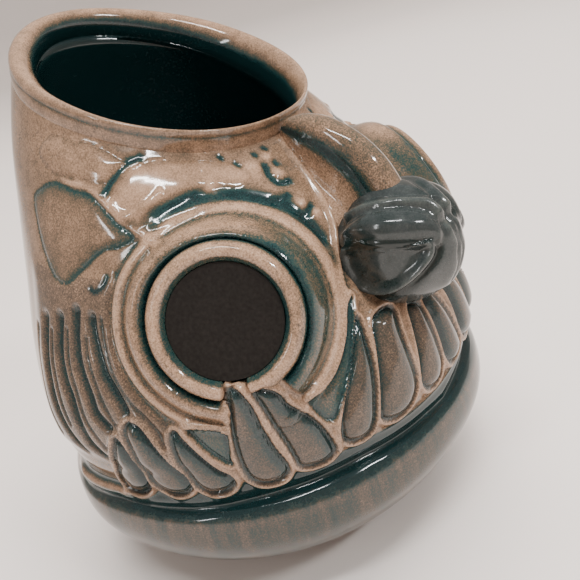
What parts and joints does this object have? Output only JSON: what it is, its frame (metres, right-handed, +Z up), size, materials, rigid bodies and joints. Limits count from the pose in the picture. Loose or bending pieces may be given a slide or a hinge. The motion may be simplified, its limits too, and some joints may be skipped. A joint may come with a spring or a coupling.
{
  "type": "tiki mug",
  "caption": "Squat glazed ceramic tiki mug shaped as an anglerfish head, with ringed eyes, long teeth over a rolled lower jaw, and a lure on a stalk over a slanted rim.",
  "frame": {"origin": "middle of the flat underside of the foot, on the surface the mug stands on", "axes": "+Z up, the face looks towards -Y, X across the face"},
  "size_m": [0.1196, 0.1233, 0.1356],
  "materials": {
    "cup_glaze": "glossy teal and tan reactive glaze",
    "bare_clay": "matte, unglazed",
    "rim_glaze": "glossy tan glaze",
    "jaw_glaze": "glossy brown glaze with dark runs",
    "lip_glaze": "glossy tan glaze",
    "eye_disc": "matte, unglazed dark clay",
    "eye_glaze": "glossy tan glaze pooled teal in the grooves",
    "lure_glaze": "glossy slate and teal glaze",
    "stalk_glaze": "glossy brown and teal glaze",
    "tooth_glaze": "glossy mauve brown glaze, pale on the edges",
    "panel_glaze": "glossy teal glaze",
    "gill_glaze": "glossy tan glaze, teal in the grooves",
    "fin_glaze": "glossy mauve glaze",
    "brow_glaze": "glossy cream glaze"
  },
  "bodies": {
    "root": {"cup_wall": "cup_glaze", "foot_pad": "bare_clay", "rim_coil": "rim_glaze", "lower_jaw": "jaw_glaze", "upper_lip": "lip_glaze", "eye_mound_left": "eye_glaze", "eye_mound_right": "eye_glaze", "eye_rim_left": "eye_glaze", "eye_rim_right": "eye_glaze", "eye_roll_left": "eye_glaze", "eye_roll_right": "eye_glaze", "eye_ring_left": "eye_glaze", "eye_ring_right": "eye_glaze", "pupil_left": "eye_disc", "pupil_right": "eye_disc", "lure_stalk": "stalk_glaze", "lure_bulb": "lure_glaze", "lure_lid_left": "lure_glaze", "lure_lid_right": "lure_glaze", "lure_lens_left": "lure_glaze", "lure_lens_right": "lure_glaze", "tooth_1_left": "tooth_glaze", "tooth_1_right": "tooth_glaze", "tooth_2_left": "tooth_glaze", "tooth_2_right": "tooth_glaze", "tooth_3_left": "tooth_glaze", "tooth_3_right": "tooth_glaze", "tooth_4_left": "tooth_glaze", "tooth_4_right": "tooth_glaze", "tooth_5_left": "tooth_glaze", "tooth_5_right": "tooth_glaze", "tooth_6_left": "tooth_glaze", "tooth_6_right": "tooth_glaze", "tooth_7_left": "tooth_glaze", "tooth_7_right": "tooth_glaze", "tooth_8_left": "tooth_glaze", "tooth_8_right": "tooth_glaze", "cheek_panel_left": "panel_glaze", "cheek_panel_right": "panel_glaze", "snout_panel_left": "panel_glaze", "snout_panel_right": "panel_glaze", "gill_cover_left": "gill_glaze", "gill_cover_right": "gill_glaze", "fin_upper_left": "fin_glaze", "fin_upper_right": "fin_glaze", "fin_lower_left": "fin_glaze", "fin_lower_right": "fin_glaze", "forehead_left": "brow_glaze", "forehead_right": "brow_glaze", "dorsal_fin": "fin_glaze"}
  },
  "joints": []
}
